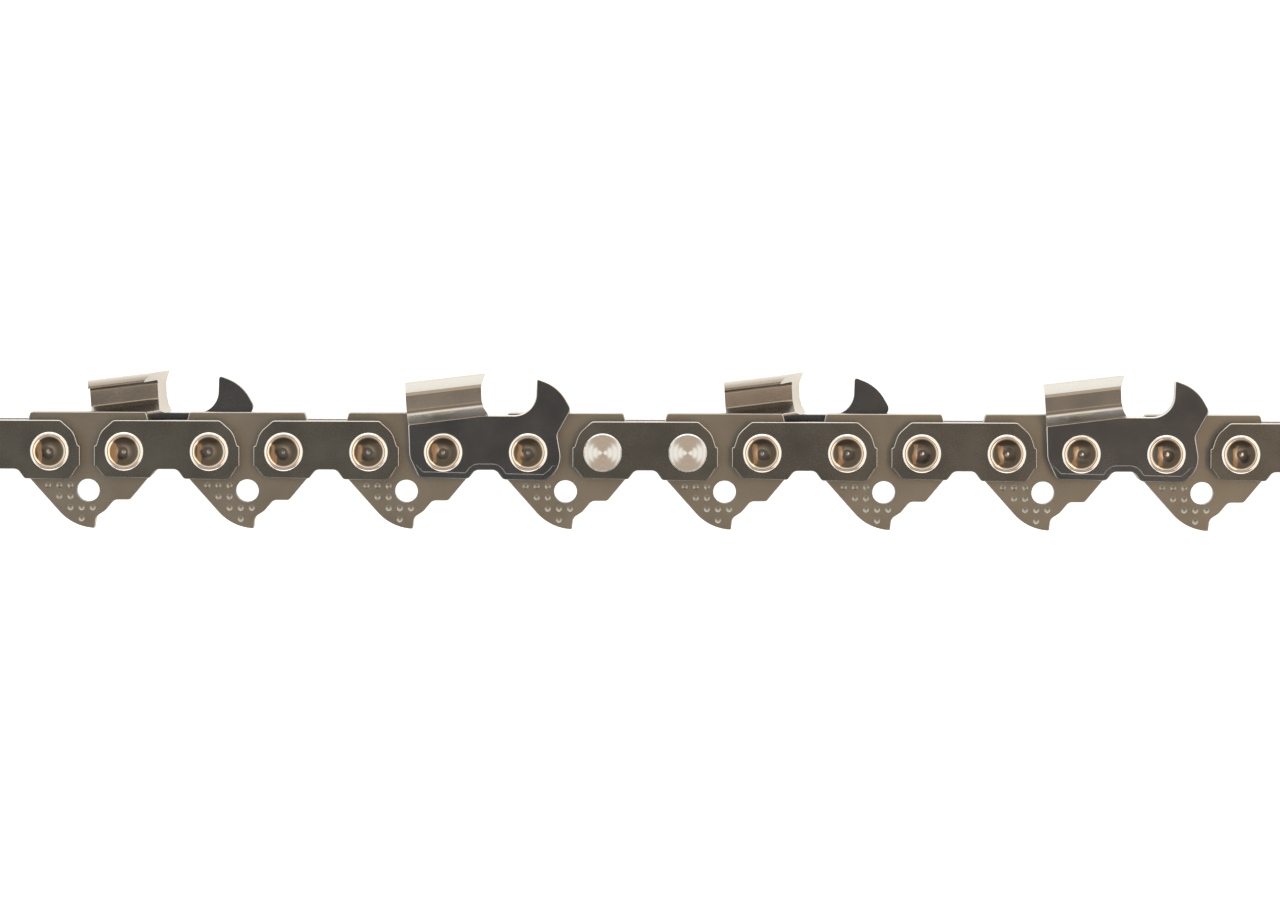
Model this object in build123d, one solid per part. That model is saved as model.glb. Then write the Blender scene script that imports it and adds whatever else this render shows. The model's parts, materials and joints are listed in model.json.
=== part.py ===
from build123d import *
from math import atan2, cos, hypot, pi, radians, sin, sqrt, tan
import os

# A closed loop of saw chain that lies flat, in mm. Rivet axes are along Z.
# Each link is drawn around its own middle: x is the way of travel, y points out of the loop, z = 0 is mid-chain.

# Loop
drive_hole_spacing = 8.90
side_hole_spacing = 10.15
pattern_repeats = 13  # left cutter, tie straps, right cutter, tie straps
bend_joints = 12  # joints that share the half turn at each end
run_pairs_each_way = 4  # link pairs of a jointed run on each side of its middle pair

# Stack across the chain
gauge = 1.60
side_play = 0.05
side_thickness = 1.70
half_kerf = 4.20

# Rivets
hub_radius = 2.75
hub_clearance = 0.04
shank_radius = 2.00
head_radius = 2.35
head_height = 0.48
head_edge = 0.20
dish_radius = 1.72
dish_depth = 0.30
joining_head_radius = 2.30
joining_head_height = 0.42
joining_bevel = 0.16

# Drive link
drive_top = 4.61
drive_top_half = 6.92
drive_shoulder = 3.55
drive_shoulder_half = 7.20
drive_end_half = 8.85
drive_end_top = 1.80
flank_top = 1.30
knee = 7.20
knee_back = 3.60
tang_depth = 9.34
tang_tip = 0.80
scoop_foot = 7.90
scoop_lean = 0.15
shelf = 5.92
shelf_back = 3.15
shelf_front = 5.00
drive_edge = 0.15
oil_hole_radius = 1.37
oil_hole_drop = 4.80
dimple_radius = 0.36
dimple_depth = 0.12
dimple_pitch = 1.33
dimple_first = (-4.78, -4.19)
dimple_rows = ((0, 1, 2), (1, 2), (2, 3, 4), (3,))  # columns that each row fills

# Tie strap
strap_top = 3.71
strap_top_half = 6.35
strap_brow = (7.95, 2.30)
strap_end_half = 8.70
strap_flat_top = 0.60
strap_flat_bottom = 1.75
strap_foot_half = 7.45
foot_rear = 3.10
foot_slope = 0.020
waist = 2.14
waist_half = 1.10
waist_flank = 1.05
side_edge = 0.10

# Cutter, flat part
cutter_rear_half = 9.28
cutter_knee_half = 9.15
cutter_knee_drop = 0.60
cutter_foot_rear = 7.96
cutter_foot_front = 7.00
gullet_floor = 4.42
gullet_radius = 2.60
gauge_rear = 5.90
gauge_tip = 6.05
gauge_top = 8.88
gauge_brow = (8.75, 7.85)
gauge_nose = (10.25, 5.20)
gauge_neck = (8.55, 2.10)
front_bulge = (9.33, -2.20)

# Cutter, folded top
fold_rear = 3.33
fold_rise = 0.1234
flare_height = 1.30
ridge_height = 3.43
bevel_height = 3.80
top_height = 5.00
ridge_step = 0.10
bevel_width = 0.95
side_taper = 0.055
side_wall = 1.60
top_wall = 1.00
top_plate_width = 4.30
heel_lean = 0.073
edge_tip = 9.55
edge_back = 0.58
file_radius = 2.80
file_drop = 0.08
top_plate_angle = 30.0

# Sizes that follow
drive_links = 4 * pattern_repeats
link_count = 2 * drive_links
bend = 180.0 / bend_joints
side_inner = gauge / 2 + side_play
side_outer = side_inner + side_thickness
rivet_half = side_hole_spacing / 2
drive_half = drive_hole_spacing / 2
floor_rear = (gullet_floor - fold_rear) / fold_rise - cutter_rear_half
overlap = 0.40


def corner_radii(points, radii):
    # Each rounding is held to what its two runs have room for.
    count = len(points)
    reach = []
    for i in range(count):
        before, here, after = points[i - 1], points[i], points[(i + 1) % count]
        turn = atan2(after[1] - here[1], after[0] - here[0]) - atan2(here[1] - before[1], here[0] - before[0])
        turn = abs((turn + pi) % (2 * pi) - pi)
        reach.append(radii[i] * tan(turn / 2))
    held = []
    for i in range(count):
        share = 1.0
        for j in (i, (i + 1) % count):
            run = hypot(points[j][0] - points[j - 1][0], points[j][1] - points[j - 1][1])
            wanted = reach[j] + reach[j - 1]
            share = min(share, 0.96 * run / wanted) if wanted > 0 else share
        held.append(radii[i] * share)
    return held


def rounded_path(corners, closed=True):
    points = [(x, y) for x, y, r in corners]
    radii = [r for x, y, r in corners]
    held = corner_radii(points, radii)
    if not closed:
        held = held[1:-1]
    return FilletPolyline(*points, radius=held, close=closed)


def plate(face, bottom, thickness):
    return Pos(0, 0, bottom) * extrude(face, thickness)


def round_holes(half_spacing, radius):
    return [Pos(side * half_spacing, 0) * Circle(radius) for side in (-1, 1)]


def rim_edges(solid, z):
    # The outer border of the flat face at height z.
    face = solid.faces().filter_by(Axis.Z).sort_by(lambda f: abs(f.center().Z - z))[0]
    return face.outer_wire().edges()


def make_drive_link():
    tip = (tang_tip, -tang_depth)
    knee_point = (-knee_back, -knee)
    flank_rear = (-drive_end_half, -flank_top)
    corners = [
        (*tip, 0),
        (tang_tip + scoop_lean, -scoop_foot, 0.9),
        (shelf_back, -shelf, 0.8),
        (shelf_front, -shelf, 0.5),
        (drive_end_half, -flank_top, 1.6),
        (drive_end_half, drive_end_top, 1.6),
        (drive_shoulder_half, drive_shoulder, 0.5),
        (drive_top_half, drive_top, 0.3),
        (-drive_top_half, drive_top, 0.3),
        (-drive_shoulder_half, drive_shoulder, 0.5),
        (-drive_end_half, drive_end_top, 1.6),
        (*flank_rear, 1.6),
        (*knee_point, 0),
    ]
    along_flank = Vector(*knee_point) - Vector(*flank_rear)
    belly = TangentArc(knee_point, tip, tangent=along_flank)
    face = make_face(rounded_path(corners, closed=False) + belly)
    for hole in round_holes(drive_half, hub_radius + hub_clearance):
        face -= hole
    face -= Pos(0, -oil_hole_drop) * Circle(oil_hole_radius)
    link = plate(face, -gauge / 2, gauge)
    link = chamfer(rim_edges(link, gauge / 2), drive_edge)
    ball = (dimple_radius**2 + dimple_depth**2) / (2 * dimple_depth)
    for row, columns in enumerate(dimple_rows):
        for column in columns:
            x = dimple_first[0] + column * dimple_pitch
            y = dimple_first[1] - row * dimple_pitch
            link -= Pos(x, y, gauge / 2 + ball - dimple_depth) * Sphere(ball)
    return link


def foot(x):
    # Height of a side link's lower edge, which drops towards the front.
    return -foot_rear - foot_slope * (x + strap_foot_half)


def waist_corners():
    wide = waist_half + waist_flank
    return [
        (wide, foot(wide), 0.5),
        (waist_half, -waist, 0.6),
        (-waist_half, -waist, 0.6),
        (-wide, foot(-wide), 0.5),
    ]


def make_tie_strap():
    front = [
        (strap_top_half, strap_top, 0.6),
        (*strap_brow, 2.5),
        (strap_end_half, strap_flat_top, 0.4),
        (strap_end_half, -strap_flat_bottom, 1.2),
        (strap_foot_half, foot(strap_foot_half), 1.0),
    ]
    rear = [(-x, y, r) for x, y, r in front[::-1]]
    rear[0] = (-strap_foot_half, foot(-strap_foot_half), 1.0)
    face = make_face(rounded_path([*front, *waist_corners(), *rear]))
    for hole in round_holes(rivet_half, shank_radius):
        face -= hole
    strap = plate(face, side_inner, side_thickness)
    return chamfer(rim_edges(strap, side_outer), side_edge)


def fold(x):
    # Height of the line where the cutter's top leaves its flat part.
    return fold_rear + fold_rise * (x + cutter_rear_half)


def cutter_section(x):
    # Section of the folded top across the chain, out over the side and back over the middle.
    base = fold(x)
    side = half_kerf + side_taper * x
    inner = half_kerf - top_plate_width
    wall = side - side_wall
    corners = [
        (side_outer, base - overlap, 0),
        (side_outer, base, 0.4),
        (side, base + flare_height, 0.4),
        (side, base + ridge_height, 0),
        (side - ridge_step, base + bevel_height, 0),
        (side - bevel_width, base + top_height, 0.5),
        (inner, base + top_height, 0),
        (inner, base + top_height - top_wall, 0),
        (wall, base + top_height - top_wall, 0.5),
        (wall, base + flare_height + 0.4, 0.4),
        (side_inner, base + 0.3, 0.4),
        (side_inner, base - overlap, 0),
    ]
    across = Plane(origin=(x, 0, 0), x_dir=(0, 0, 1), z_dir=(-1, 0, 0))
    return across * make_face(rounded_path(corners))


def make_right_cutter():
    front_foot = (cutter_foot_front, foot(cutter_foot_front), 0.5)
    rear_foot = (-cutter_foot_rear, foot(-cutter_foot_rear), 0.5)
    corners = [
        rear_foot,
        (-cutter_knee_half, -cutter_knee_drop, 2.5),
        (-cutter_rear_half, fold_rear, 0),
        (floor_rear, gullet_floor, 0),
        (gauge_rear, gullet_floor, gullet_radius),
        (gauge_tip, gauge_top, 0.15),
        (*gauge_brow, 5.0),
        (*gauge_nose, 0.9),
        (*gauge_neck, 1.0),
        (*front_bulge, 3.6),
        front_foot,
        *waist_corners(),
    ]
    face = make_face(rounded_path(corners))
    for hole in round_holes(rivet_half, shank_radius):
        face -= hole
    flat = plate(face, side_inner, side_thickness)
    flat = chamfer(rim_edges(flat, side_outer).filter_by(lambda e: e.center().Y < fold_rear - 1.0), side_edge)

    reach = 1.5
    top = loft([cutter_section(-cutter_rear_half - reach), cutter_section(reach)], ruled=True)
    high = edge_tip + 1.5
    heel_back = cutter_rear_half + heel_lean * (high - fold_rear)
    heel_low = fold_rear - 2 * overlap
    heel = Polyline(
        (-cutter_rear_half + heel_lean * 2 * overlap, heel_low),
        (-heel_back, high),
        (-heel_back - 2 * reach, high),
        (-heel_back - 2 * reach, heel_low),
        close=True,
    )
    top -= plate(make_face(heel), -2 * half_kerf, 4 * half_kerf)
    body = flat + top

    # Ground front: the hollow of a round file that leans back from the outer corner at the top plate angle.
    file_x = file_radius - edge_back
    file_y = gullet_floor + file_radius - file_drop
    tip = (file_x - sqrt(file_radius**2 - (edge_tip - file_y) ** 2), edge_tip)
    floor_start = (file_x - sqrt(file_radius**2 - (file_radius - file_drop) ** 2), gullet_floor)
    clear = (gauge_rear - 1.5, gullet_floor)
    face_path = ThreePointArc(tip, (-edge_back, file_y), floor_start)
    face_path += Polyline(floor_start, clear, (clear[0], high), (tip[0], high), tip)
    slant = Vector(sin(radians(top_plate_angle)), 0, cos(radians(top_plate_angle)))
    length = 4 * half_kerf
    ground = extrude(make_face(face_path), length, dir=slant)
    ground = Pos(-slant.X * length / 2, 0, half_kerf - slant.Z * length / 2) * ground
    return body - ground


def make_rivet():
    # Half of the section, from the axis out to the hub, turned about the axis and mirrored.
    seat = side_outer
    crown = seat + head_height
    path = ThreePointArc((0, crown - dish_depth), (dish_radius * 0.6, crown - dish_depth * 0.72), (dish_radius, crown))
    path += ThreePointArc(
        (dish_radius, crown),
        ((dish_radius + head_radius) / 2 + 0.08, crown - 0.06),
        (head_radius, seat + head_edge),
    )
    path += rivet_side(head_radius, seat + head_edge, crown - dish_depth)
    half = revolve(Plane.XZ * make_face(path), Axis.Z)
    return half + mirror(half, Plane.XY)


def rivet_side(radius, top, centre):
    # Outer wall of head, shank and hub, then back along the axis.
    return Polyline(
        (radius, top),
        (radius, side_outer),
        (shank_radius, side_outer),
        (shank_radius, side_inner),
        (hub_radius, side_inner),
        (hub_radius, 0),
        (0, 0),
        (0, centre),
    )


def make_joining_rivet():
    crown = side_outer + joining_head_height
    path = Polyline((0, crown), (joining_head_radius - joining_bevel, crown),
                    (joining_head_radius, crown - joining_bevel))
    path += rivet_side(joining_head_radius, crown - joining_bevel, crown)
    half = revolve(Plane.XZ * make_face(path), Axis.Z)
    return half + mirror(half, Plane.XY)


def joint_turn(joint):
    # Turn at a joint: the two ends share a half turn each over their bend joints.
    first = link_count // 4 - bend_joints // 2
    return bend if first <= joint % (link_count // 2) < first + bend_joints else 0.0


def link_length(index):
    return drive_hole_spacing if index % 2 else side_hole_spacing


def link_places():
    # Middle and heading of every link, walked round the loop from the joining link at the middle of the upper run.
    places = []
    x, y, heading = -link_length(0) / 2, 0.0, 0.0
    for index in range(link_count):
        ahead = Vector(cos(radians(heading)), sin(radians(heading)), 0)
        half = link_length(index) / 2
        places.append((x + ahead.X * half, y + ahead.Y * half, heading))
        x += ahead.X * 2 * half
        y += ahead.Y * 2 * half
        heading -= joint_turn(index)
    across = places[link_count // 2]
    middle = ((places[0][0] + across[0]) / 2, (places[0][1] + across[1]) / 2)
    return [(x - middle[0], y - middle[1], heading) for x, y, heading in places]


def pair_kinds(index):
    # Near and far side link of a pair: every fourth pair repeats.
    return (
        ("tie_strap", "tie_strap"),
        ("tie_strap", "left_cutter"),
        ("tie_strap", "tie_strap"),
        ("right_cutter", "tie_strap"),
    )[index // 2 % 4]


near_strap = make_tie_strap()
right_cutter = make_right_cutter()
drive_link = make_drive_link()
rivet = make_rivet()
joining_rivet = make_joining_rivet()
near_side = {"tie_strap": near_strap, "right_cutter": right_cutter}
far_side = {"tie_strap": mirror(near_strap, Plane.XY), "left_cutter": mirror(right_cutter, Plane.XY)}
places = link_places()
mid_height = right_cutter.bounding_box().max.Z  # the loop lies on the far cutters


def placed(shape, index):
    x, y, heading = places[index % link_count]
    return Location((x, y, mid_height), (0, 0, heading)) * shape


def near_link(index):
    return placed(near_side[pair_kinds(index)[0]], index)


def far_link(index):
    return placed(far_side[pair_kinds(index)[1]], index)


def pair_rivets(index):
    shape = joining_rivet if index % link_count == 0 else rivet
    return [placed(Pos(side * rivet_half, 0) * shape, index) for side in (-1, 1)]


def link_pieces(index):
    if index % 2:
        return [placed(drive_link, index)]
    return [near_link(index), far_link(index), *pair_rivets(index)]


def save(name, pieces):
    export_step(Compound(label=name, children=pieces), f"parts/{name}.step")


os.makedirs("parts", exist_ok=True)
reach = 2 * run_pairs_each_way
half_loop = link_count // 2

# The run of the photo: every piece by itself, numbered in the way of travel.
for index in range(-reach, reach + 1):
    if index % 2:
        save(f"drive_link_{(index + reach + 1) // 2}", link_pieces(index))
        continue
    number = (index + reach) // 2 + 1
    near_kind, far_kind = pair_kinds(index)
    joining = "joining_" if index == 0 else ""
    save(f"{joining}{near_kind}_near_{number}", [near_link(index)])
    save(f"{joining}{far_kind}_far_{number}", [far_link(index)])
    save(f"{joining}rivets_{number}", pair_rivets(index))

# The lower run: one node for each link.
for index in range(half_loop - reach, half_loop + reach + 1):
    step = index - half_loop + reach
    name = f"lower_drive_link_{(step + 1) // 2}" if index % 2 else f"lower_link_pair_{step // 2 + 1}"
    save(name, link_pieces(index))

# The two ends: four stiff sections each, split at the first, middle and last bend joint.
first_bend = link_count // 4 - bend_joints // 2
splits = [reach, first_bend, link_count // 4 - 1, first_bend + bend_joints - 1, half_loop - reach - 1]
for name, start in (("nose", 0), ("tail", half_loop)):
    for number in range(1, 5):
        indices = range(start + splits[number - 1] + 1, start + splits[number] + 1)
        save(f"{name}_links_{number}", [piece for index in indices for piece in link_pieces(index)])
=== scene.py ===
import json
from math import cos, hypot, pi, radians, sin, sqrt, tan

import bpy
import numpy as np
from mathutils import Matrix, Vector
from mathutils.geometry import tessellate_polygon


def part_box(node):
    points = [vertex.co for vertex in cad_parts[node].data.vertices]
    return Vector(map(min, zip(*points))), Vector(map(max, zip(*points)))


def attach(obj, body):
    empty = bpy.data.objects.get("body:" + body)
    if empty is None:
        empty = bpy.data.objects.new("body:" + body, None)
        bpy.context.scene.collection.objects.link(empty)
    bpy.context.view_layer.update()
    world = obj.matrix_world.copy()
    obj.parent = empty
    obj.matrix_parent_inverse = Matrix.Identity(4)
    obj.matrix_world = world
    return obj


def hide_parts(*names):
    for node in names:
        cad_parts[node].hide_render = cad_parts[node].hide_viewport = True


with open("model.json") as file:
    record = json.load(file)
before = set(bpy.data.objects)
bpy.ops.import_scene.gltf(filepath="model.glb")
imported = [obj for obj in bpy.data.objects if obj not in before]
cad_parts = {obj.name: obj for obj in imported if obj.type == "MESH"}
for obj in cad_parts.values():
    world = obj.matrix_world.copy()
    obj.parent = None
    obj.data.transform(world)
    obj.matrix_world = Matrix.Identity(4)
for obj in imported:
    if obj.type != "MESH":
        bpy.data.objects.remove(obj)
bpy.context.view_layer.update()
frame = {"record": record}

mm = 0.001  # shapes are worked out in mm and stored in metres
tiny = 1e-12  # keeps a division by no length finite

# Loop: links count from the joining pair in the way of travel, even ones are pairs, odd ones drive links
loop = dict(driveSpacing=8.90, sideSpacing=10.15, links=104, bendJoints=12, reach=8)
rivetHalf = loop["sideSpacing"] / 2
driveHalf = loop["driveSpacing"] / 2
halfLoop = loop["links"] // 2
firstBend = loop["links"] // 4 - loop["bendJoints"] // 2

# Stack across the chain, from mid-chain outwards
stack = dict(gauge=1.60, sideInner=0.85, sideOuter=2.55, halfKerf=4.20)

# Painted highlights: 0 keeps the finish's own colour, 1 gives the colour of its edges; they lie on rounded
# edges, coined steps, dimple rims and the middle of a rivet's bowl
paintedHighlight = dict(
    edge=0.9, coinStep=0.3, dimple=0.5, dimpleLean=0.8,
    rivetMiddle=0.42, middleFull=0.35, middleEnd=0.90,  # the last two are radii in a rivet's bowl
)


def unit(vectors):
    # each vector divided by its own length
    return vectors / (np.linalg.norm(vectors, axis=-1, keepdims=True) + tiny)


def fade(value, start, end):
    # 0 at start and 1 at end, straight between them and level beyond
    return np.clip((value - start) / (end - start), 0, 1)


def cornerReach(points, radii):
    # length that each rounding takes from its two runs: radius times the tangent of half the turn
    ahead = np.roll(points, -1, axis=0) - points
    behind = points - np.roll(points, 1, axis=0)
    turn = np.arctan2(ahead[:, 1], ahead[:, 0]) - np.arctan2(behind[:, 1], behind[:, 0])
    turn = (turn + pi) % (2 * pi) - pi
    return radii * np.tan(np.abs(turn) / 2), turn, ahead, behind


def roundedOutline(corners, arcStep=0.22, keep=0.96, sharp=1e-6, nearest=0.002):
    # closed outline: each corner of x, y and radius becomes an arc that touches both runs,
    # held to the share of the runs that keep gives
    corners = np.array(corners, float)
    points, radii = corners[:, :2], corners[:, 2].copy()
    reach, turn, ahead, behind = cornerReach(points, radii)
    runBefore = np.linalg.norm(behind, axis=1)
    runAfter = np.linalg.norm(ahead, axis=1)
    shareBefore = keep * runBefore / np.maximum(reach + np.roll(reach, 1), tiny)
    shareAfter = keep * runAfter / np.maximum(reach + np.roll(reach, -1), tiny)
    share = np.minimum(1, np.minimum(shareBefore, shareAfter))
    radii *= share
    reach *= share
    pieces = []
    for i in range(len(points)):
        if radii[i] < sharp:
            pieces.append(points[i : i + 1])
            continue
        backWay = behind[i] / runBefore[i]
        start = points[i] - backWay * reach[i]
        normal = np.array([-backWay[1], backWay[0]]) * np.sign(turn[i])
        centre = start + normal * radii[i]
        count = max(3, int(abs(turn[i]) * radii[i] / arcStep) + 2)
        angles = np.linspace(0, turn[i], count)
        spoke = start - centre
        arc = np.stack([np.cos(angles) * spoke[0] - np.sin(angles) * spoke[1],
                        np.sin(angles) * spoke[0] + np.cos(angles) * spoke[1]], axis=1)
        pieces.append(centre + arc)
    outline = np.concatenate(pieces)
    step = np.linalg.norm(outline - np.roll(outline, 1, axis=0), axis=1)
    outline = outline[step > nearest]  # arcs that meet share one point
    area = np.sum(outline[:, 0] * np.roll(outline[:, 1], -1) - outline[:, 1] * np.roll(outline[:, 0], -1))
    return outline if area > 0 else outline[::-1]


def circleOutline(centre, radius, count):
    # centre plus radius times the cosine and sine of even steps round a full turn
    angles = np.linspace(0, 2 * pi, count, endpoint=False)
    return np.stack([centre[0] + radius * np.cos(angles), centre[1] + radius * np.sin(angles)], axis=1)


def mirroredCorners(corners):
    # the same corners on the other side of the link's middle, in the order of the outline
    return [(-x, y, radius) for x, y, radius in corners[::-1]]


def outwardNormals(outline):
    # at each point, the mean of the normals of the two runs that meet there
    run = np.roll(outline, -1, axis=0) - outline
    normal = unit(np.stack([run[:, 1], -run[:, 0]], axis=1))
    return unit(normal + np.roll(normal, 1, axis=0))


def gridSurface(points, normals, wear=0.0):
    # triangles of a grid of rows by columns, whose last column meets the first:
    # the way along a row crossed with the way to the next row points outwards
    rows, columns = points.shape[:2]
    index = np.arange(rows * columns).reshape(rows, columns)
    ahead = np.roll(index, -1, axis=1)
    a, b = index[:-1].ravel(), ahead[:-1].ravel()
    c, d = ahead[1:].ravel(), index[1:].ravel()
    triangles = np.concatenate([np.stack([a, b, c], 1), np.stack([a, c, d], 1)])
    wearAndHighlightShare = np.broadcast_to(wear, (rows, columns)).ravel()
    return dict(points=points.reshape(-1, 3), triangles=triangles, normals=normals.reshape(-1, 3)[triangles],
                wear=wearAndHighlightShare[triangles])


def outlineFill(loops, up):
    # triangles between an outer outline and its holes, turned by the sign of their area to face up or down
    level = [np.pad(part, ((0, 0), (0, 1))).tolist() for part in loops]  # with a height of 0
    triangles = np.array(tessellate_polygon(level), int)
    a, b, c = np.moveaxis(np.concatenate(loops)[triangles], 1, 0)
    area = (b[:, 0] - a[:, 0]) * (c[:, 1] - a[:, 1]) - (b[:, 1] - a[:, 1]) * (c[:, 0] - a[:, 0])
    return np.where(((area < 0) == up)[:, None], triangles[:, ::-1], triangles)


def flatFill(loops, height, up):
    # flat face between an outer outline and its holes at one height
    flat = np.concatenate(loops)
    triangles = outlineFill(loops, up)
    points = np.column_stack([flat, np.full(len(flat), height)])
    normals = np.zeros((len(triangles), 3, 3))
    normals[:, :, 2] = 1 if up else -1
    return dict(points=points, triangles=triangles, normals=normals, wear=np.zeros(triangles.shape))


def rimSurface(outline, low, high, lowEdge, highEdge, steps=3, inside=False, coin=None, coinRun=0.8):
    # wall of a plate: the outline carried along a profile of inset, height and normal
    # that rounds over at both faces with quarter circles
    # inside is for a hole, where the wall faces the other way
    # coin is a band along part of the outline that lies lower than the face:
    # its share at each point, its width and its depth
    around = np.linspace(0, pi / 2, steps + 1)
    lowPart = np.stack([lowEdge * (1 - np.sin(around)), low + lowEdge * (1 - np.cos(around)),
                        np.sin(around), -np.cos(around)], axis=1)
    highPart = np.stack([highEdge * (1 - np.cos(around)), high - highEdge * (1 - np.sin(around)),
                         np.cos(around), np.sin(around)], axis=1)
    profile = np.concatenate([lowPart, highPart])
    way = outwardNormals(outline) * (-1 if inside else 1)
    count = len(outline)
    inset, height, across, upward = [np.repeat(column[:, None], count, axis=1) for column in profile.T]
    if coin:
        share, width, depth = coin
        stepRun = coinRun * depth  # a little steeper than half upright
        height[steps + 1 :] -= share * depth
        bandEnd = highEdge + share * (width - stepRun)
        stepTop = highEdge + share * width
        flat, slope = np.ones(count), np.full(count, sqrt(0.5))
        inset = np.vstack([inset, bandEnd, bandEnd, stepTop, stepTop])
        height = np.vstack([height, *[high - share * depth] * 2, *[np.full(count, high)] * 2])
        across = np.vstack([across, 0 * flat, slope, slope, 0 * flat])
        upward = np.vstack([upward, flat, slope, slope, flat])
    points = np.stack([outline[:, 0] - way[:, 0] * inset, outline[:, 1] - way[:, 1] * inset, height], axis=2)
    normals = np.stack([way[:, 0] * across, way[:, 1] * across, upward], axis=2)
    if inside:
        points, normals = points[:, ::-1], normals[:, ::-1]
    # painted highlight on the rounded edge at the high face, weakest where it faces the tangs, and a faint
    # painted highlight on a coined step
    wear = np.zeros(points.shape[:2])
    wear[steps + 2 : 2 * steps + 1] = np.clip(paintedHighlight["edge"] + way[:, 1], 0, 1)
    wear[2 * steps + 3 : 2 * steps + 5] = paintedHighlight["coinStep"]
    return gridSurface(points, normals, wear), points[0, :, :2], points[-1, :, :2]


def bowlSurface(centre, radius, depth, height, rings=2, count=12):
    # bowl below the face: its depth falls off with the square of the way from the middle to the rim
    share = np.linspace(1, 0, rings + 1)[:, None]
    angles = np.linspace(0, 2 * pi, count, endpoint=False)[None, :]
    x = centre[0] + radius * share * np.cos(angles)
    y = centre[1] + radius * share * np.sin(angles)
    z = height - depth * (1 - share**2) * np.ones_like(angles)
    slope = 2 * depth * share / radius
    normals = unit(np.stack([-slope * np.cos(angles), -slope * np.sin(angles), np.ones_like(x)], axis=2))
    # painted highlight, full at the rim and fading to the middle, strongest on the side towards the tang
    wear = share * np.clip(paintedHighlight["dimple"] - paintedHighlight["dimpleLean"] * np.sin(angles), 0, 1)
    return gridSurface(np.stack([x, y, z], axis=2), normals, wear), np.stack([x[0], y[0]], axis=1)


def plateShape(outline, holes, low, high, lowEdge, highEdge, dimples=(), holeEdge=0.04, coin=None):
    # flat plate: a rounded wall round the outline and each hole, two flat faces,
    # and bowls pressed into the high face
    wall, lowLoop, highLoop = rimSurface(outline, low, high, lowEdge, highEdge, coin=coin)
    surfaces, lowLoops, highLoops = [wall], [lowLoop], [highLoop]
    for hole in holes:
        wall, lowLoop, highLoop = rimSurface(hole, low, high, holeEdge, holeEdge, steps=1, inside=True)
        surfaces.append(wall)
        lowLoops.append(lowLoop)
        highLoops.append(highLoop)
    for centre, radius, depth in dimples:
        bowl, bowlLoop = bowlSurface(centre, radius, depth, high)
        surfaces.append(bowl)
        highLoops.append(bowlLoop)
    surfaces.append(flatFill(lowLoops, low, False))
    surfaces.append(flatFill(highLoops, high, True))
    return welded(joined(surfaces))


def latheShape(profile, count, blend, highlightFrom):
    # profile of radius and height, from the top of the axis to its bottom, turned round the axis
    # each run of the profile has two rows of its own; runs that turn by less than blend share their normals
    # a painted highlight from one radius outwards and a fainter painted pale spot in its middle
    profile = np.array(profile, float)
    run = np.diff(profile, axis=0)
    normal = unit(np.stack([-run[:, 1], run[:, 0]], axis=1))
    mean = unit(normal[1:] + normal[:-1])
    gentle = np.sum(normal[1:] * normal[:-1], axis=1) > cos(blend)
    startNormal, endNormal = normal.copy(), normal.copy()
    startNormal[1:][gentle] = mean[gentle]
    endNormal[:-1][gentle] = mean[gentle]
    rows = np.stack([profile[:-1], profile[1:]], axis=1).reshape(-1, 2, 1)[::-1]
    rowNormals = np.stack([startNormal, endNormal], axis=1).reshape(-1, 2, 1)[::-1]
    angles = np.linspace(0, 2 * pi, count, endpoint=False)
    c, s, one = np.cos(angles), np.sin(angles), np.ones(count)
    points = np.stack([rows[:, 0] * c, rows[:, 0] * s, rows[:, 1] * one], axis=2)
    normals = np.stack([rowNormals[:, 0] * c, rowNormals[:, 0] * s, rowNormals[:, 1] * one], axis=2)
    middle = fade(rows[:, 0], paintedHighlight["middleEnd"], paintedHighlight["middleFull"])
    wear = (rows[:, 0] > highlightFrom) + paintedHighlight["rivetMiddle"] * middle
    return welded(gridSurface(points, normals, wear))


def joined(shapes):
    # one shape out of several: the triangles of each count on from the points before them
    starts = np.cumsum([0] + [len(shape["points"]) for shape in shapes[:-1]])
    return dict(
        points=np.concatenate([shape["points"] for shape in shapes]),
        triangles=np.concatenate([shape["triangles"] + start for shape, start in zip(shapes, starts)]),
        normals=np.concatenate([shape["normals"] for shape in shapes]),
        wear=np.concatenate([shape["wear"] for shape in shapes]),
    )


def welded(shape, grain=1e-4):
    # points that lie together become one, and triangles that lose a side go
    keys = np.round(shape["points"] / grain).astype(np.int64)
    _, first, place = np.unique(keys, axis=0, return_index=True, return_inverse=True)
    triangles = place.ravel()[shape["triangles"]]
    whole = ((triangles[:, 0] != triangles[:, 1]) & (triangles[:, 1] != triangles[:, 2])
             & (triangles[:, 2] != triangles[:, 0]))
    return dict(points=shape["points"][first], triangles=triangles[whole], normals=shape["normals"][whole],
                wear=shape["wear"][whole])


def mirrored(shape):
    # the same shape on the other side of mid-chain, with its triangles turned round
    flip = np.array([1, 1, -1])
    return dict(points=shape["points"] * flip, triangles=shape["triangles"][:, ::-1],
                normals=shape["normals"][:, ::-1] * flip, wear=shape["wear"][:, ::-1])


def moved(shape, x=0.0, y=0.0, z=0.0, heading=0.0):
    # the shape turned about its own middle by heading, then shifted
    c, s = cos(radians(heading)), sin(radians(heading))
    turn = np.array([[c, s, 0], [-s, c, 0], [0, 0, 1]])
    return dict(points=shape["points"] @ turn + np.array([x, y, z]), triangles=shape["triangles"],
                normals=shape["normals"] @ turn, wear=shape["wear"])


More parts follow.
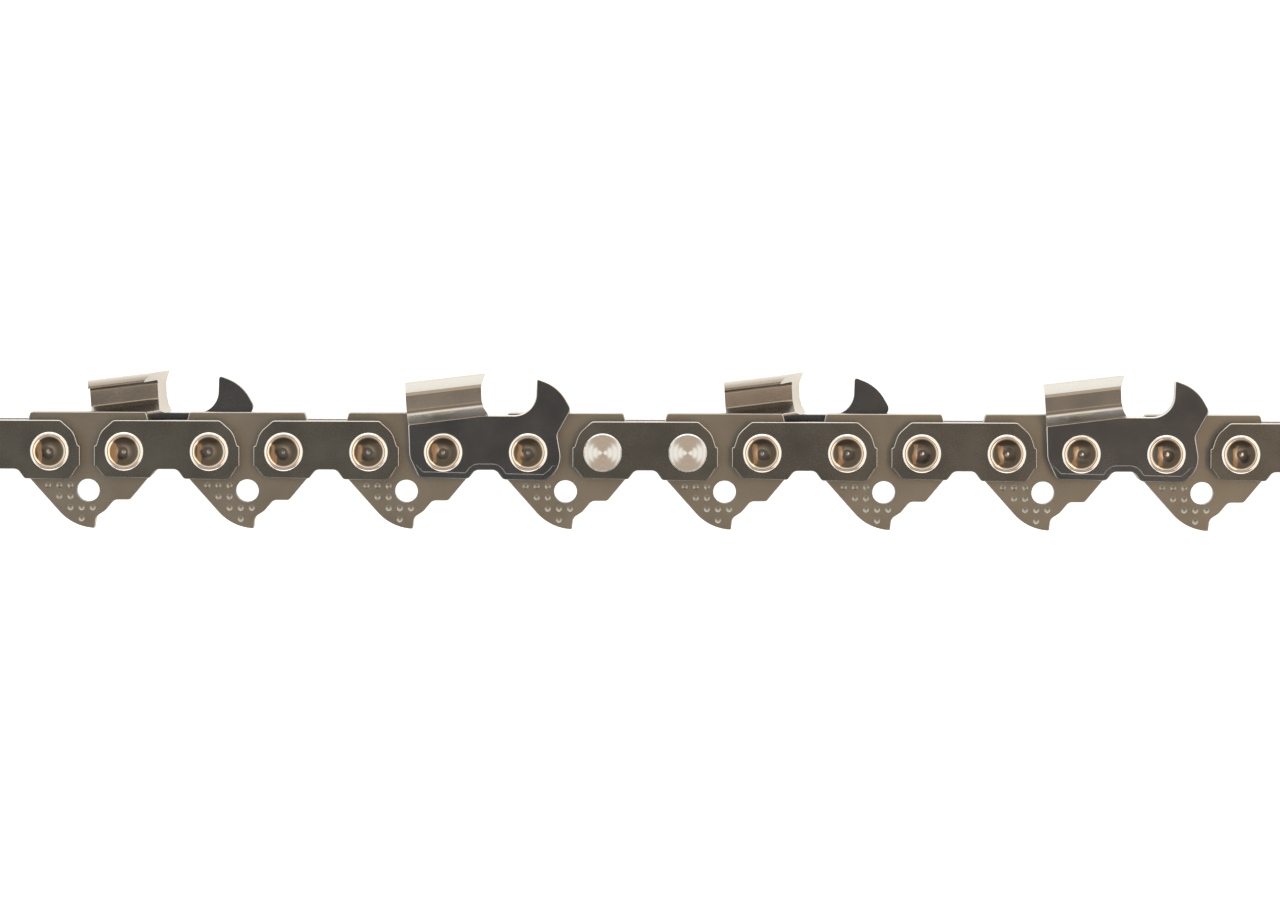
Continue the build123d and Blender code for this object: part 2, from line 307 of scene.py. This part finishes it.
driveLink = dict(
    top=4.61, topHalf=6.92, topRadius=0.3, shoulder=3.55, shoulderHalf=7.20, shoulderRadius=0.5,
    endHalf=8.85, endTop=1.80, flankTop=1.30, endRadius=1.6, knee=(-3.60, -7.20),
    # corners of the tang as x, y and rounding
    tip=(0.80, -9.34, 0.20), scoopFoot=(0.95, -7.93, 0.9), scoopBrow=(2.05, -7.22, 1.2),
    shelfBack=(3.15, -5.92, 0.8), shelfFront=(5.00, -5.92, 0.5),
    edge=0.11, backEdge=0.06, holeRadius=2.79, holeCount=32,
    oilHole=(0, -4.80), oilHoleRadius=1.37, oilHoleCount=36,
    dimpleRadius=0.36, dimpleDepth=0.13, dimplePitch=1.33, dimpleFirst=(-4.78, -4.19),
    dimpleRows=((0, 1, 2), (1, 2), (2, 3, 4), (3,)),  # columns that each row fills
)


def bellyCorner(flankRear, knee, tip, ease=0.97):
    # corner of the arc that leaves the flank at the knee without a turn and ends at the tip:
    # radius is half the chord over the sine of the angle between flank and chord
    flankWay = np.subtract(knee, flankRear)
    chord = np.subtract(tip, knee)
    turn = np.arctan2(chord[1], chord[0]) - np.arctan2(flankWay[1], flankWay[0])
    radius = hypot(*chord) / (2 * sin(turn))
    corner = np.array(knee) + flankWay / hypot(*flankWay) * radius * tan(turn)
    return corner[0], corner[1], radius * ease


def driveLinkShape(size):
    # plate with the same shoulders at both ends and a hooked tang below
    endHalf, flankTop, endRadius = size["endHalf"], size["flankTop"], size["endRadius"]
    flankRear = (-endHalf, -flankTop)
    front = [
        (endHalf, size["endTop"], endRadius),
        (size["shoulderHalf"], size["shoulder"], size["shoulderRadius"]),
        (size["topHalf"], size["top"], size["topRadius"]),
    ]
    outline = roundedOutline([
        size["tip"], size["scoopFoot"], size["scoopBrow"], size["shelfBack"], size["shelfFront"],
        (endHalf, -flankTop, endRadius),
        *front,
        *mirroredCorners(front),
        (*flankRear, endRadius),
        bellyCorner(flankRear, size["knee"], size["tip"][:2]),
    ], keep=1.0)
    holes = [circleOutline((side * driveHalf, 0), size["holeRadius"], size["holeCount"]) for side in (-1, 1)]
    holes.append(circleOutline(size["oilHole"], size["oilHoleRadius"], size["oilHoleCount"]))
    (firstX, firstY), pitch = size["dimpleFirst"], size["dimplePitch"]
    dimples = [
        ((firstX + column * pitch, firstY - row * pitch), size["dimpleRadius"], size["dimpleDepth"])
        for row, columns in enumerate(size["dimpleRows"]) for column in columns
    ]
    halfGauge = stack["gauge"] / 2
    return plateShape(outline, holes, -halfGauge, halfGauge, size["backEdge"], size["edge"], dimples)


tieStrap = dict(
    top=3.71, topHalf=6.35, topRadius=0.6, brow=(7.95, 2.30, 2.5),  # brow as x, y and rounding
    endHalf=8.70, flatTop=0.60, flatBottom=1.75,
    tab=0.26, tabTop=0.12, tabBottom=0.08, tabRadius=0.14, tabFootRadius=0.08,
    footHalf=7.45, footRear=3.10, footSlope=0.020, footRadius=1.0,
    waist=2.14, waistHalf=1.22, waistFlank=0.82, waistRadius=0.8, waistFootRadius=0.5,
    edge=0.12, backEdge=0.05, holeRadius=2.0, holeCount=28,
)


def foot(x):
    # height of the lower edge, a straight line that falls towards the front
    return -tieStrap["footRear"] - tieStrap["footSlope"] * (x + tieStrap["footHalf"])


def waistCorners(footRadius):
    # arch between the two feet: a corner on the lower edge and one at the top of the arch on either side
    half, top, radius = tieStrap["waistHalf"], -tieStrap["waist"], tieStrap["waistRadius"]
    wide = half + tieStrap["waistFlank"]
    return [(wide, foot(wide), footRadius), (half, top, radius),
            (-half, top, radius), (-wide, foot(-wide), footRadius)]


def sideLinkShape(outline, size, coin=None):
    # plate of a strap or a cutter with the holes for its two rivets
    radius, count = tieStrap["holeRadius"], tieStrap["holeCount"]
    holes = [circleOutline((side * rivetHalf, 0), radius, count) for side in (-1, 1)]
    return plateShape(outline, holes, stack["sideInner"], stack["sideOuter"], size["backEdge"], size["edge"],
                      coin=coin)


def tieStrapShape(size):
    # plate with rounded shoulders, a small tab at each end and an arch between its feet
    endHalf, tabFoot = size["endHalf"], size["endHalf"] - size["tab"]
    footHalf, footRadius = size["footHalf"], size["footRadius"]
    front = [
        (size["topHalf"], size["top"], size["topRadius"]),
        size["brow"],
        (tabFoot, size["flatTop"] + size["tabTop"], size["tabFootRadius"]),
        (endHalf, size["flatTop"], size["tabRadius"]),
        (endHalf, -size["flatBottom"], size["tabRadius"]),
        (tabFoot, -size["flatBottom"] - size["tabBottom"], size["tabFootRadius"]),
    ]
    outline = roundedOutline([
        *front,
        (footHalf, foot(footHalf), footRadius),
        *waistCorners(size["waistFootRadius"]),
        (-footHalf, foot(-footHalf), footRadius),
        *mirroredCorners(front),
    ])
    return sideLinkShape(outline, size)


cutter = dict(
    rearHalf=9.28, rearRadius=0.25, kneeHalf=9.15, kneeDrop=0.60, kneeRadius=2.5,
    footRear=7.96, footFront=7.00, footRadius=0.85, floor=4.42, floorRadius=2.60, gaugeRear=5.90,
    # corners of the depth gauge and the front as x, y and rounding
    gaugeTip=(6.05, 8.88, 0.22), gaugeBrow=(8.75, 7.85, 5.0), gaugeNose=(10.25, 5.20, 0.9),
    gaugeNeck=(8.55, 2.10, 1.0), frontBulge=(9.33, -2.20, 3.6),
    edge=0.16, backEdge=0.05,
    # coined band, which fades in as the wall turns down and below a height
    coinWidth=0.62, coinDepth=0.11, coinFacing=(0.2, 0.5), coinHeight=(-1.6, -1.9),
    # fold line and section of the folded top
    foldRear=3.33, foldRise=0.1234, flare=1.30, ridge=3.43, bevel=3.80, topHeight=5.00, ridgeStep=0.10,
    bevelWidth=0.95, sideWall=1.60, topWall=1.00, plateWidth=4.30, lipBevel=0.36, lipDrop=0.28,
    innerRise=0.4, innerFoot=0.3,
    # roundings of the section's corners, up the side and back down inside
    sectionRadii=(0.02, 1.10, 0.05, 0.12, 0.45, 0.20, 0.12, 0.08, 0.5, 0.4, 0.4, 0.02),
    # taper towards the heel, and the ground front
    taper=0.055, heelLean=0.073, edgeBack=0.58, fileRadius=2.80, fileDrop=0.08, plateAngle=30.0, stations=9,
)


def cutterFlatShape(size):
    # side plate with the fold line and the floor above, the depth gauge in front and the strap's feet below
    floor, fold, footRadius = size["floor"], size["foldRear"], size["footRadius"]
    floorRear = (floor - fold) / size["foldRise"] - size["rearHalf"]
    outline = roundedOutline([
        (-size["footRear"], foot(-size["footRear"]), footRadius),
        (-size["kneeHalf"], -size["kneeDrop"], size["kneeRadius"]),
        (-size["rearHalf"], fold, size["rearRadius"]),
        (floorRear, floor, 0),
        (size["gaugeRear"], floor, size["floorRadius"]),
        size["gaugeTip"], size["gaugeBrow"], size["gaugeNose"], size["gaugeNeck"], size["frontBulge"],
        (size["footFront"], foot(size["footFront"]), footRadius),
        *waistCorners(footRadius),
    ])
    # coined band on the lower edge and the waist: full where the wall faces down, fading out round the ends
    facing = -outwardNormals(outline)[:, 1]
    share = fade(facing, *size["coinFacing"]) * fade(outline[:, 1], *size["coinHeight"])
    return sideLinkShape(outline, size, coin=(share, size["coinWidth"], size["coinDepth"]))


def cutterSection(size):
    # section of the folded top as distance from mid-chain and height above the fold,
    # with the share of the side taper that each point takes
    side, inner = stack["halfKerf"], stack["halfKerf"] - size["plateWidth"]
    wall = side - size["sideWall"]
    under = size["topHeight"] - size["topWall"]
    corners = [
        (stack["sideOuter"], 0),
        (side, size["flare"]),
        (side, size["ridge"]),
        (side - size["ridgeStep"], size["bevel"]),
        (side - size["bevelWidth"], size["topHeight"]),
        (inner + size["lipBevel"], size["topHeight"]),
        (inner, under + size["lipDrop"]),
        (inner, under),
        (wall, under),
        (wall, size["flare"] + size["innerRise"]),
        (stack["sideInner"], size["innerFoot"]),
        (stack["sideInner"], 0),
    ]
    section = roundedOutline(np.column_stack([corners, size["sectionRadii"]]), arcStep=0.10)
    return section, fade(section[:, 0], inner, side) * fade(section[:, 1], 0, size["flare"])


def cutterTopShape(size, rimLimit=0.97, slopeLimit=0.98, rounds=12):
    # the section is carried along the fold line, from the heel to the ground front
    # the front is the hollow of a round file that leans back from the outer corner by the top plate angle
    # the two limits keep the hollow short of the file's upright flanks
    section, share = cutterSection(size)
    across, rise = section.T
    radius = size["fileRadius"]
    middle = size["floor"] + radius - size["fileDrop"]
    lean = tan(radians(size["plateAngle"]))

    def heightAt(x):
        # fold line at x plus each point's own height
        return size["foldRear"] + size["foldRise"] * (x + size["rearHalf"]) + rise

    front = np.zeros(len(section))
    rear = np.full(len(section), -size["rearHalf"])
    for _ in range(rounds):  # both ends depend on the height, which depends on them
        away = np.minimum(np.abs(heightAt(front) - middle), radius * rimLimit)
        hollow = radius - size["edgeBack"] - np.sqrt(radius**2 - away**2)
        front = hollow + (across + share * size["taper"] * front - stack["halfKerf"]) * lean
        rear = -size["rearHalf"] - size["heelLean"] * (heightAt(rear) - size["foldRear"])
    part = np.linspace(0, 1, size["stations"])[:, None]
    x = rear + part * (front - rear)
    y = heightAt(x)
    z = across + share * size["taper"] * x
    points = np.stack([x, y, z], axis=2)
    # normals are those of the section, made square to the way along the fold
    along = unit(np.gradient(points, axis=0))
    flat = outwardNormals(section)
    sideways = np.stack([np.zeros_like(x), np.broadcast_to(flat[:, 1], x.shape),
                         np.broadcast_to(flat[:, 0], x.shape)], axis=2)
    normals = unit(sideways - along * np.sum(sideways * along, axis=2, keepdims=True))
    skin = gridSurface(points[:, ::-1], normals[:, ::-1])

    triangles = outlineFill([section], True)
    heel = dict(points=points[0], triangles=triangles, wear=np.zeros(triangles.shape),
                normals=np.broadcast_to([-1.0, 0.0, 0.0], (len(triangles), 3, 3)))
    slope = np.clip((y[-1] - middle) / radius, -slopeLimit, slopeLimit)
    ground = unit(np.stack([np.ones(len(section)), -slope / np.sqrt(1 - slope**2),
                            np.full(len(section), -lean)], axis=1))
    triangles = triangles[:, ::-1]
    face = dict(points=points[-1], triangles=triangles, wear=np.ones(triangles.shape),
                normals=ground[triangles])
    return welded(joined([skin, heel, face]))


rivetSize = dict(
    hub=2.75, shank=2.00, head=2.35, height=0.48, edge=0.20, dish=1.78, count=36, blend=pi / 5,
    # dished end as radius and depth below the crown: centre mark, bowl, rolled rim
    face=((0, 0.250), (0.14, 0.258), (0.26, 0.284), (0.50, 0.270), (0.80, 0.238), (1.10, 0.191),
          (1.40, 0.130), (1.65, 0.068), (1.82, 0.020), (1.90, 0.004), (1.97, 0.000), (2.06, 0.012),
          (2.16, 0.048), (2.28, 0.120)),
)
joiningSize = dict(
    head=2.30, height=0.42, bevel=0.16, count=44, blend=0.02,
    rings=15, ringSlope=0.37, ringSwing=0.16, ringBeat=2.4,  # the slope swings a little from ring to ring
)


def wholeRivet(size, face, headFoot, highlightFrom=0.0):
    # face of the head, its side, shank and hub down to mid-chain, and the same mirrored below
    outer, inner = stack["sideOuter"], stack["sideInner"]
    head, shank, hub = size["head"], rivetSize["shank"], rivetSize["hub"]
    upper = [*face, (head, outer + headFoot), (head, outer), (shank, outer), (shank, inner), (hub, inner)]
    lower = [(radius, -height) for radius, height in upper[::-1]]
    return latheShape([*upper, *lower], size["count"], size["blend"], highlightFrom)


def rivetShape(size):
    # dished end: its profile measured down from the crown, with a painted highlight from the edge of the
    # dish outwards
    crown = stack["sideOuter"] + size["height"]
    face = [(radius, crown - depth) for radius, depth in size["face"]]
    return wholeRivet(size, face, size["edge"], highlightFrom=size["dish"])


def joiningRivetShape(size):
    # flat spun head: turned rings as a zigzag of radius, deeper and shallower in turn, and a bevelled edge
    crown = stack["sideOuter"] + size["height"]
    flat = size["head"] - size["bevel"]
    steps = np.arange(2 * size["rings"] + 1)
    slope = size["ringSlope"] * (1 + size["ringSwing"] * np.cos(size["ringBeat"] * steps))
    depth = slope * (steps % 2) * flat / steps[-1]
    face = list(zip(flat * steps / steps[-1], crown - depth))
    return wholeRivet(size, face, size["height"] - size["bevel"])


def linkPlaces():
    # middle and heading of every link, walked round from the joining pair;
    # the joints of each end share a half turn
    number = np.arange(loop["links"])
    lengths = np.where(number % 2 == 0, loop["sideSpacing"], loop["driveSpacing"])
    joint = number % halfLoop
    bends = (joint >= firstBend) & (joint < firstBend + loop["bendJoints"])
    turns = np.where(bends, 180.0 / loop["bendJoints"], 0.0)
    heading = -np.concatenate([[0], np.cumsum(turns)[:-1]])
    ahead = np.stack([np.cos(np.radians(heading)), np.sin(np.radians(heading))], axis=1)
    starts = np.concatenate([[[0, 0]], np.cumsum(ahead * lengths[:, None], axis=0)[:-1]])
    middles = starts + ahead * lengths[:, None] / 2
    middles -= (middles[0] + middles[halfLoop]) / 2
    return np.column_stack([middles, heading])


def bodyOfLink(index):
    # the CAD body that holds a link: one each along both runs, four sections round each end
    reach = loop["reach"]
    index = (index + reach) % loop["links"] - reach
    for prefix, middle in (("", 0), ("lower_", halfLoop)):
        step = index - middle + reach
        if 0 <= step <= 2 * reach:
            return prefix + (f"drive_link_{(step + 1) // 2}" if step % 2 else f"link_pair_{step // 2 + 1}")
    name = "nose" if index < halfLoop else "tail"
    lasts = [firstBend, loop["links"] // 4 - 1, firstBend + loop["bendJoints"] - 1, halfLoop]
    number = next(i for i, last in enumerate(lasts) if index % halfLoop <= last) + 1
    return f"{name}_links_{number}"


shapes = dict(
    driveLink=driveLinkShape(driveLink), strap=tieStrapShape(tieStrap), flat=cutterFlatShape(cutter),
    top=cutterTopShape(cutter), rivet=rivetShape(rivetSize), joiningRivet=joiningRivetShape(joiningSize),
)
for name in ("strap", "flat", "top"):
    shapes[name + "Far"] = mirrored(shapes[name])
print("shapes:", {name: len(shape["triangles"]) for name, shape in shapes.items()})

places = linkPlaces()
lowRivet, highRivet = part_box("joining_rivets_5")
midHeight = (lowRivet.z + highRivet.z) / 2 / mm

pairKinds = (("strap", "strap"), ("strap", "cutter"), ("strap", "strap"), ("cutter", "strap"))  # near, far


def linkPieces(index):
    # role, finish and shape of each piece of a link, around the link's own middle
    if index % 2:
        return [("drive", "driveSteel", shapes["driveLink"])]
    pieces = []
    for role, kind, tail in zip(("near", "far"), pairKinds[index // 2 % len(pairKinds)], ("", "Far")):
        if kind == "strap":
            pieces.append((role, "strapSteel", shapes["strap" + tail]))
        else:
            pieces.append((role, "cutterSteel", shapes["flat" + tail]))
            pieces.append((role, "cutterChrome", shapes["top" + tail]))
    finish, rivet = ("rivetSteel", "rivet") if index else ("joiningSteel", "joiningRivet")
    for way in (-1, 1):
        pieces.append(("rivets", finish, moved(shapes[rivet], x=way * rivetHalf)))
    return pieces


class Wire:
    # a node's output that takes part in Python sums; every operator adds a Math node
    def __init__(self, tree, socket):
        self.tree, self.socket = tree, socket

    def node(self, kind, settings, inputs, output=0):
        # any node: its settings first, then a value or a wire for each socket by name or number
        made = self.tree.nodes.new(kind)
        for name, value in settings.items():
            setattr(made, name, value)
        for key, value in inputs.items():
            if isinstance(value, Wire):
                self.tree.links.new(value.socket, made.inputs[key])
            else:
                made.inputs[key].default_value = value
        return Wire(self.tree, made.outputs[output])

    def math(self, operation, first, second=0.0):
        return self.node("ShaderNodeMath", dict(operation=operation), {0: first, 1: second})

    def __add__(self, other):
        return self.math("ADD", self, other)

    def __radd__(self, other):
        return self.math("ADD", other, self)

    def __mul__(self, other):
        return self.math("MULTIPLY", self, other)

    def __sub__(self, other):
        return self.math("SUBTRACT", self, other)

    def __neg__(self):
        return self.math("MULTIPLY", self, -1.0)

    def __abs__(self):
        return self.math("ABSOLUTE", self)

    def ramp(self, low, high):
        # 0 below low, 1 above high, smooth between
        return self.node("ShaderNodeMapRange", dict(interpolation_type="SMOOTHSTEP"),
                         {"Value": self, "From Min": low, "From Max": high})

    def mix(self, low, high):
        # colour that goes from low to high as the value goes from 0 to 1
        return self.node("ShaderNodeMix", dict(data_type="RGBA"), {0: self, 6: low, 7: high}, 2)

    def noise(self, scale, detail):
        # soft noise around 0.5 with so many waves to the metre
        return self.node("ShaderNodeTexNoise", {}, {"Vector": self, "Scale": scale, "Detail": detail})

    def feed(self, socket):
        self.tree.links.new(self.socket, socket)


def rgba(colour, scale=1.0):
    # colour times scale, fully opaque
    return (*[value * scale for value in colour], 1.0)


# Finishes: own colour, colour of the painted highlights on edges, rims and dimples and of the filed cutter
# front, roughness, strength of mottling, grain and dents
finishes = dict(
    driveSteel=dict(colour=(0.278, 0.282, 0.262), edge=(0.62, 0.60, 0.56),
                    rough=0.38, mottle=0.16, grain=0.14, dent=0.0),
    strapSteel=dict(colour=(0.176, 0.190, 0.190), edge=(0.72, 0.70, 0.67),
                    rough=0.27, mottle=0.20, grain=0.08, dent=0.0),
    cutterSteel=dict(colour=(0.144, 0.162, 0.186), edge=(0.80, 0.79, 0.77),
                     rough=0.25, mottle=0.22, grain=0.08, dent=0.0),
    cutterChrome=dict(colour=(0.475, 0.462, 0.436), edge=(0.50, 0.487, 0.445),
                      rough=0.23, mottle=0.04, grain=0.04, dent=0.0),
    # the rivets' own colour is made dark to paint the dark reflection in their bowls; their edge colour is
    # the painted highlight on the rim and in the middle
    rivetSteel=dict(colour=(0.118, 0.110, 0.092), edge=(0.92, 0.90, 0.87),
                    rough=0.08, mottle=0.35, grain=0.03, dent=0.4),
    joiningSteel=dict(colour=(0.71, 0.705, 0.69), edge=(0.71, 0.705, 0.69),
                      rough=0.11, mottle=0.05, grain=0.03, dent=0.0),
)

# Noise that all finishes share: scale and detail of each kind, and what it does to tone, roughness and bump
steelNoise = dict(
    slow=(210.0, 3.0), fine=(5200.0, 2.0), dents=(560.0, 1.0), darkest=0.65, lightest=1.35, fineTone=0.25,
    slowRough=0.12, fineRough=0.06, grainDepth=0.02 * mm, dentDepth=0.2 * mm,
)


def steel(name, finish, noise=steelNoise):
    # burnished steel: slow mottling of colour and roughness, the edge colour mixed in as painted highlights
    # and on the filed cutter front, a fine grain and, on some, slow dents as bump
    material = bpy.data.materials.new(name)
    material.use_nodes = True
    tree = material.node_tree
    shader = tree.nodes["Principled BSDF"].inputs
    shader["Metallic"].default_value = 1.0
    place = Wire(tree, tree.nodes.new("ShaderNodeTexCoord").outputs["Object"])
    wearAndHighlightShare = place.node("ShaderNodeAttribute", dict(attribute_name="wear"), {}, "Fac")
    slow, fine = place.noise(*noise["slow"]), place.noise(*noise["fine"])
    tone = 0.5 + (slow - 0.5) * (2 * finish["mottle"]) + (fine - 0.5) * noise["fineTone"]
    plain = tone.mix(rgba(finish["colour"], noise["darkest"]), rgba(finish["colour"], noise["lightest"]))
    wearAndHighlightShare.mix(plain, rgba(finish["edge"])).feed(shader["Base Color"])
    rough = finish["rough"] + (slow - 0.5) * noise["slowRough"] + (fine - 0.5) * noise["fineRough"]
    rough.feed(shader["Roughness"])
    bump = place.node("ShaderNodeBump", {}, {"Strength": finish["grain"], "Distance": noise["grainDepth"],
                                             "Height": fine})
    if finish["dent"]:
        dents = place.noise(*noise["dents"])
        bump = place.node("ShaderNodeBump", {}, {"Strength": finish["dent"], "Distance": noise["dentDepth"],
                                                 "Height": dents, "Normal": bump})
    bump.feed(shader["Normal"])
    return material


materials = {name: steel(name, finish) for name, finish in finishes.items()}
print("materials:", ", ".join(materials))


def addPiece(name, groups):
    # one mesh out of the shapes of every finish, each with its own material
    parts = [(finish, joined(placedShapes)) for finish, placedShapes in groups.items()]
    whole = joined([part for _, part in parts])
    points, triangles = whole["points"] * mm, whole["triangles"]
    mesh = bpy.data.meshes.new(name)
    mesh.vertices.add(len(points))
    mesh.vertices.foreach_set("co", points.astype(np.float32).ravel())
    mesh.loops.add(3 * len(triangles))
    mesh.loops.foreach_set("vertex_index", triangles.astype(np.int32).ravel())
    mesh.polygons.add(len(triangles))
    mesh.polygons.foreach_set("loop_start", np.arange(0, 3 * len(triangles), 3, dtype=np.int32))
    counts = [len(part["triangles"]) for _, part in parts]
    mesh.polygons.foreach_set("material_index", np.repeat(np.arange(len(parts)), counts).astype(np.int32))
    mesh.update(calc_edges=True)
    # share of the edge colour at each corner: painted highlights on edges, rims and dimples, and the bright
    # filed front of the cutters
    wearAndHighlightShare = mesh.attributes.new("wear", "FLOAT", "CORNER")
    wearAndHighlightShare.data.foreach_set("value", whole["wear"].astype(np.float32).ravel())
    mesh.normals_split_custom_set(whole["normals"].reshape(-1, 3).astype(np.float32))
    for finish, _ in parts:
        mesh.materials.append(materials[finish])
    made = bpy.data.objects.new(name, mesh)
    bpy.context.scene.collection.objects.link(made)
    return made


nodesOf = frame["record"]["behaviour"]["bodies"]


def nodeFor(body, role):
    # a body of several nodes names its near link, its far link and its rivets
    nodes = nodesOf[body]
    return nodes[0] if len(nodes) == 1 else next(node for node in nodes if role in node)


byNode = {}
for index in range(loop["links"]):
    x, y, heading = places[index]
    body = bodyOfLink(index)
    for role, finish, shape in linkPieces(index):
        groups = byNode.setdefault((body, nodeFor(body, role)), {})
        groups.setdefault(finish, []).append(moved(shape, x, y, midHeight, heading))

total = 0
for (body, node), groups in byNode.items():
    piece = addPiece(node + "_skin", groups)
    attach(piece, body)
    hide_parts(node)
    total += len(piece.data.polygons)
print("pieces in place:", len(byNode), "of them,", total, "triangles")


studio = dict(
    floorSize=3.0, floorColour=(0.92, 0.92, 0.92), floorRough=0.9, floorGlow=0.80,
    # light of the room by direction; a border gives where along its axis a light starts and is full
    ceiling=(0.88, 0.72, 0.565),
    overhead=(0.215, 0.195, 0.172), overheadBorder=(0.955, 0.99),  # straight up, where the camera stands
    fringe=(0.92, 0.77, 0.61), fringeBorder=(0.30, 0.44),  # warm border of the side windows
    lowerWall=(0.36, 0.28, 0.22), lowerWallBorder=(0.22, 0.50),
    lowerWindow=(1.75, 1.62, 1.42), lowerWindowBorder=(0.78, 0.97),
    lamp=(2.6, 1.58, 0.95), lampNear=(0.19, 0.22), lampFar=(0.35, 0.39), lampEnds=(0.30, 0.40),  # warm strip
    sideWindow=(1.15, 1.12, 1.04), sideWindowBorder=(0.42, 0.66),
    upperWindow=(1.86, 1.83, 1.74), upperWindowBorder=(0.70, 0.90),
)


def addFloor(room):
    # a light table: a square round the origin, matt, pale and faintly lit from below
    mesh = bpy.data.meshes.new("floor")
    half = room["floorSize"] / 2
    corners = [(-half, -half, 0), (half, -half, 0), (half, half, 0), (-half, half, 0)]
    mesh.from_pydata(corners, [], [(0, 1, 2, 3)])
    material = bpy.data.materials.new("paleFloor")
    material.use_nodes = True
    shader = material.node_tree.nodes["Principled BSDF"].inputs
    shader["Base Color"].default_value = rgba(room["floorColour"])
    shader["Roughness"].default_value = room["floorRough"]
    shader["Specular IOR Level"].default_value = 0.0
    shader["Emission Color"].default_value = (1, 1, 1, 1)
    shader["Emission Strength"].default_value = room["floorGlow"]
    mesh.materials.append(material)
    floor = bpy.data.objects.new("floor", mesh)
    bpy.context.scene.collection.objects.link(floor)


def addWorld(room):
    # room round the part: dark straight up, a brown ceiling and wide white windows on all four sides
    world = bpy.data.worlds.new("studio")
    world.use_nodes = True
    tree = world.node_tree
    way = Wire(tree, tree.nodes.new("ShaderNodeTexCoord").outputs["Object"])
    x, y, z = [way.node("ShaderNodeSeparateXYZ", {}, {0: way}, i) for i in range(3)]
    aside, lower = abs(x), -y
    strip = x.ramp(*room["lampNear"]) - x.ramp(*room["lampFar"]) - abs(y).ramp(*room["lampEnds"])
    light = z.ramp(*room["overheadBorder"]).mix(rgba(room["ceiling"]), rgba(room["overhead"]))
    light = aside.ramp(*room["fringeBorder"]).mix(light, rgba(room["fringe"]))
    light = lower.ramp(*room["lowerWallBorder"]).mix(light, rgba(room["lowerWall"]))
    light = lower.ramp(*room["lowerWindowBorder"]).mix(light, rgba(room["lowerWindow"]))
    light = strip.ramp(0.0, 1.0).mix(light, rgba(room["lamp"]))
    light = aside.ramp(*room["sideWindowBorder"]).mix(light, rgba(room["sideWindow"]))
    light = y.ramp(*room["upperWindowBorder"]).mix(light, rgba(room["upperWindow"]))
    light.feed(tree.nodes["Background"].inputs["Color"])
    bpy.context.scene.world = world


view = dict(
    frameWidth=1280, frameHeight=900, joiningPixel=(645.2, 453.0), pixelsPerMm=8.38,
    distance=0.750, above=3.5, roll=0.166, headHeight=3.0, sensorWidth=36.0, nearest=0.01, farthest=20.0,
)


def addCamera(view):
    # looks down on the joining pair from the photo's angle; the offsets put that pair on its pixel
    target = Vector((places[0][0] * mm, places[0][1] * mm, (midHeight + view["headHeight"]) * mm))
    above = radians(view["above"])
    back = Vector((0, sin(above), cos(above)))
    up = Vector((0, cos(above), -sin(above)))
    turn = Matrix.Rotation(radians(view["roll"]), 3, back)
    right, up = turn @ up.cross(back), turn @ up
    camera = bpy.data.cameras.new("camera")
    camera.sensor_fit = "HORIZONTAL"
    camera.sensor_width = view["sensorWidth"]
    camera.lens = view["sensorWidth"] * view["pixelsPerMm"] * view["distance"] / mm / view["frameWidth"]
    camera.clip_start, camera.clip_end = view["nearest"], view["farthest"]
    offX = (view["joiningPixel"][0] - view["frameWidth"] / 2) / view["pixelsPerMm"] * mm
    offY = (view["joiningPixel"][1] - view["frameHeight"] / 2) / view["pixelsPerMm"] * mm
    holder = bpy.data.objects.new("camera", camera)
    place = target + back * view["distance"] - right * offX + up * offY
    holder.matrix_world = Matrix.Translation(place) @ Matrix((right, up, back)).transposed().to_4x4()
    bpy.context.scene.collection.objects.link(holder)
    bpy.context.scene.camera = holder


addFloor(studio)
addWorld(studio)
addCamera(view)
bpy.context.scene.view_settings.view_transform = "Standard"
print("floor, room and camera set")
